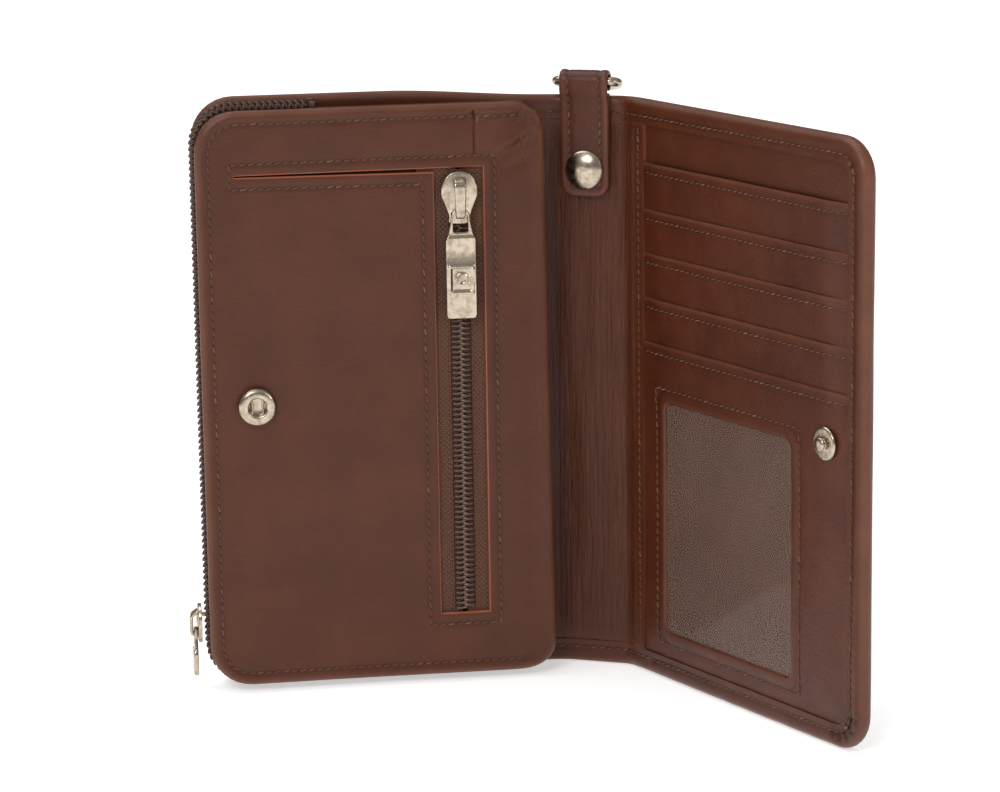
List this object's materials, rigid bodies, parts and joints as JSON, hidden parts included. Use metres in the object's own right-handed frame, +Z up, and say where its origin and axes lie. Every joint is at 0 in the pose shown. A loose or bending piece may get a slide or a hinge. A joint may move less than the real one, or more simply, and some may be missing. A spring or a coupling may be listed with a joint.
{
  "type": "phone wallet case",
  "caption": "Folding leather case with a zip-around phone compartment, a zip coin pocket, a spine with a snap tab and ring, and a card flap with an ID window.",
  "frame": {"origin": "middle of the footprint on the surface that the open case stands on", "axes": "+X along the covers towards the spine, +Y from the front cover to the back cover, +Z up"},
  "size_m": [0.1646, 0.1018, 0.1625],
  "materials": {
    "outer_leather": "semi-gloss",
    "inner_leather": "semi-gloss",
    "lining": "matt",
    "board": "matt",
    "zip_tape": "woven",
    "zip_coil": "satin",
    "pocket_cloth": "woven",
    "nickel": "satin",
    "film": "clear"
  },
  "bodies": {
    "back_cover": {"outer_back_leather": "outer_leather", "back_stiffener": "board", "back_lining": "lining", "back_zip_coil": "zip_coil", "back_zip_tape": "zip_tape", "back_zip_stop": "nickel"},
    "front_cover": {"front_leather_panel": "outer_leather", "front_side_hem": "outer_leather", "front_lining": "lining", "front_zip_coil": "zip_coil", "front_zip_tape": "zip_tape", "front_zip_stop": "nickel", "side_gusset": "inner_leather", "top_gusset": "inner_leather", "coin_pocket_front_layer": "pocket_cloth", "coin_pocket_back_layer": "pocket_cloth", "coin_zip_coil_left": "zip_coil", "coin_zip_coil_right": "zip_coil", "coin_zip_tape_left": "zip_tape", "coin_zip_tape_right": "zip_tape", "front_snap_socket": "nickel", "front_snap_post": "nickel"},
    "coin_slider": {"coin_slider_body": "nickel"},
    "coin_puller": {"coin_puller": "nickel"},
    "cover_slider": {"cover_zip_slider_body": "nickel"},
    "cover_puller": {"cover_zip_puller": "nickel"},
    "spine": {"spine_outer_leather": "outer_leather", "spine_lining_leather": "inner_leather", "tab_back_leaf": "inner_leather", "tab_snap_stud": "nickel"},
    "tab_leaf": {"tab_front_leaf": "inner_leather", "tab_snap_cap": "nickel"},
    "ring": {"d_ring": "nickel"},
    "flap": {"flap_outer_leather": "outer_leather", "flap_stiffener": "board", "flap_base_leather": "inner_leather", "card_slot_1": "inner_leather", "card_slot_2": "inner_leather", "card_slot_3": "inner_leather", "card_slot_4": "inner_leather", "id_window_panel": "inner_leather", "id_window_film": "film", "id_pocket_backing": "inner_leather", "flap_fold_strip": "inner_leather", "flap_edge_strip": "inner_leather", "flap_snap_stud": "nickel", "flap_snap_cap": "nickel"}
  },
  "joints": [
    {"name": "front_cover_fold", "type": "hinge", "parent": "back_cover", "child": "front_cover", "pos_m": [0.01315, 0.04374, 0], "axis": [0, 0, 1], "range_deg": [0, 25]},
    {"name": "spine_fold", "type": "hinge", "parent": "back_cover", "child": "spine", "pos_m": [0.01835, 0.04614, 0], "axis": [0, 0, 1], "range_deg": [-63, 25]},
    {"name": "flap_fold", "type": "hinge", "parent": "spine", "child": "flap", "pos_m": [0.03874, 0.03664, 0], "axis": [0, 0, 1], "range_deg": [-53, 39]},
    {"name": "tab_opening", "type": "hinge", "parent": "spine", "child": "tab_leaf", "pos_m": [0.02581, 0.03991, 0.1596], "axis": [-0.9063, 0.4226, 0], "range_deg": [0, 150]},
    {"name": "ring_swing", "type": "hinge", "parent": "spine", "child": "ring", "pos_m": [0.02581, 0.03991, 0.1596], "axis": [0.9063, -0.4226, 0], "range_deg": [0, 150]},
    {"name": "coin_zip", "type": "slide", "parent": "front_cover", "child": "coin_slider", "axis": [0, 0, -1], "range_m": [0, 0.098]},
    {"name": "coin_puller_swing", "type": "hinge", "parent": "coin_slider", "child": "coin_puller", "pos_m": [-0.00925, 0.02899, 0.1278], "axis": [-1, 0, 0], "range_deg": [0, 150]},
    {"name": "cover_zip", "type": "slide", "parent": "back_cover", "child": "cover_slider", "axis": [0, 0, 1], "range_m": [0, 0.12]},
    {"name": "cover_puller_swing", "type": "hinge", "parent": "cover_slider", "child": "cover_puller", "pos_m": [-0.0811, 0.03914, 0.0159], "axis": [0, 1, 0], "range_deg": [0, 150]}
  ]
}
